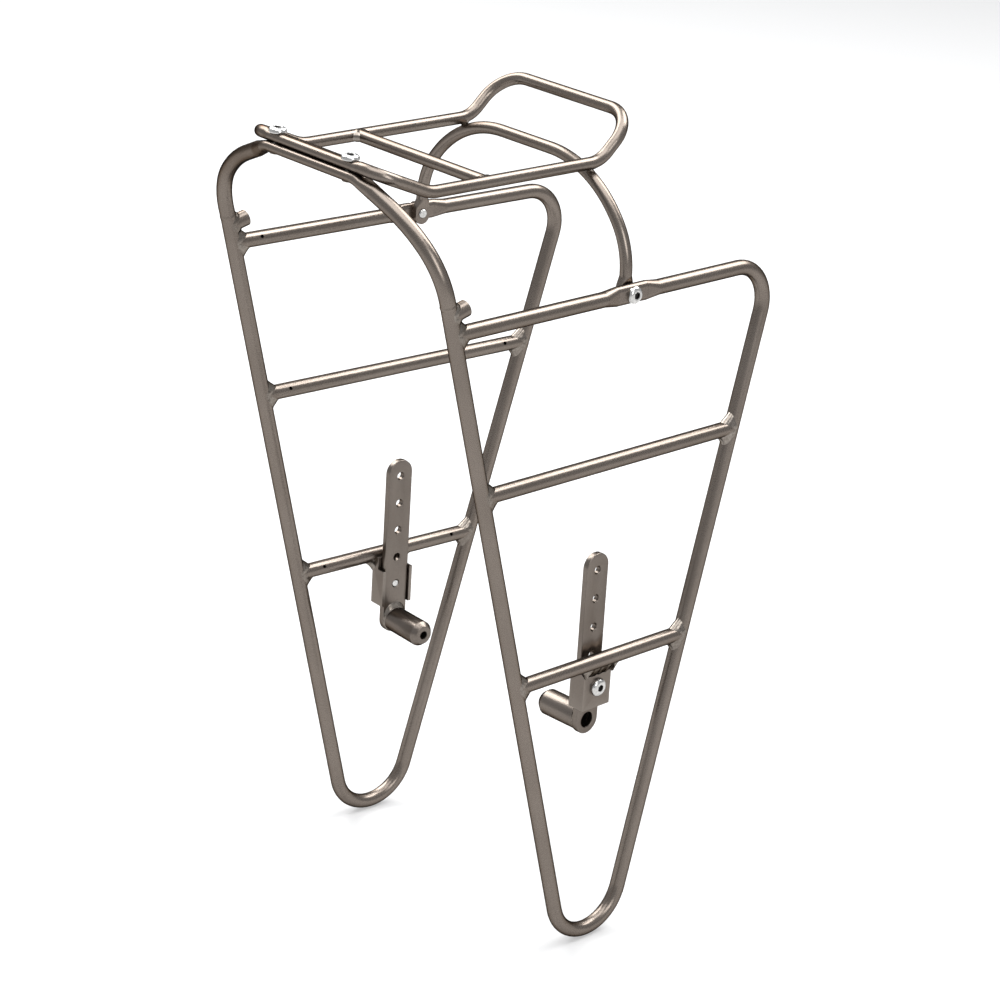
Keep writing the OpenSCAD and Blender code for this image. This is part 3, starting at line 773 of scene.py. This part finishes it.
for side, mirrored in SIDES:
    for kind, rings, seat, along in SCREWS:
        socket_screw(kind, side, rings, seat, along, mirrored)
    foot_plate(side, mirrored)
    foot_spacer(side, mirrored)
for side, mirrored in SIDES:
    barrel_weld(f"weld_barrel_{side}", mirrored, f"foot_{side}")
    block_weld(f"weld_block_{side}", mirrored)
    for label, end in (("front", -1), ("rear", 1)):
        block_ear(f"weld_ear_{label}_{side}", end, mirrored)
    softened(f"foot_block_{side}", f"foot_channel_{side}", width=0.8, material=FOOT,
             body="root")


# ---------- floor and light ----------
bpy.ops.mesh.primitive_plane_add(size=60, location=(0, 0, cad_box[0].z))
floor = bpy.context.object
floor.name = "floor"
floor.data.materials.append(pale_floor("pale_floor", glow=0.38))

world = bpy.data.worlds.new("studio")
bpy.context.scene.world = world
world.use_nodes = True
sky = world.node_tree.nodes["Background"]
sky.inputs["Color"].default_value = (0.95, 0.97, 1.0, 1)
sky.inputs["Strength"].default_value = 0.60

RACK_MIDDLE = (cad_box[0] + cad_box[1]) / 2


def softbox(name, place, size, watts):
    """A rectangular lamp that faces the middle of the rack."""
    light = bpy.data.lights.new(name, "AREA")
    light.shape = "RECTANGLE"
    light.size, light.size_y = size
    light.energy = watts
    lamp = bpy.data.objects.new(name, light)
    lamp.location = place
    lamp.rotation_euler = (RACK_MIDDLE - Vector(place)).to_track_quat("-Z", "Y").to_euler()
    bpy.context.scene.collection.objects.link(lamp)


# rear_top and right_top are where the level tubes mirror them to the camera
softbox("overhead", place=(0.3, -0.3, 2.9), size=(2.6, 2.6), watts=70)
softbox("rear_top", place=(0.1, 1.65, 2.1), size=(1.6, 1.6), watts=70)
softbox("right_top", place=(-1.8, 0.0, 2.0), size=(1.6, 1.6), watts=70)
softbox("front_fill", place=(2.6, -0.5, 1.4), size=(1.1, 1.6), watts=24)
softbox("rear_rim", place=(-2.4, 0.9, 1.4), size=(1.1, 1.6), watts=20)
bpy.context.scene.view_settings.view_transform = "Standard"

# ---------- camera ----------
# It sees the rack as the photo does. Its place is in metres.
CAMERA_PLACE = Vector((1.3692, -1.2533, 0.8437))
AZIMUTH = math.radians(47.27)
ELEVATION = math.radians(21.42)
ROLL = math.radians(3.59)
camera_data = bpy.data.cameras.new("camera")
camera_data.lens = 113.99
camera_data.sensor_width = 36
camera_data.shift_x = -0.0071
camera_data.shift_y = 0.0006
camera_data.clip_start = 0.05
camera_data.clip_end = 60
camera = bpy.data.objects.new("camera", camera_data)
bpy.context.scene.collection.objects.link(camera)
backwards = Vector((math.sin(AZIMUTH) * math.cos(ELEVATION),
                    -math.cos(AZIMUTH) * math.cos(ELEVATION), math.sin(ELEVATION)))
turned = (-backwards).to_track_quat("-Z", "Y").to_matrix() @ Matrix.Rotation(ROLL, 3, "Z")
camera.matrix_world = Matrix.Translation(CAMERA_PLACE) @ turned.to_4x4()
bpy.context.scene.camera = camera
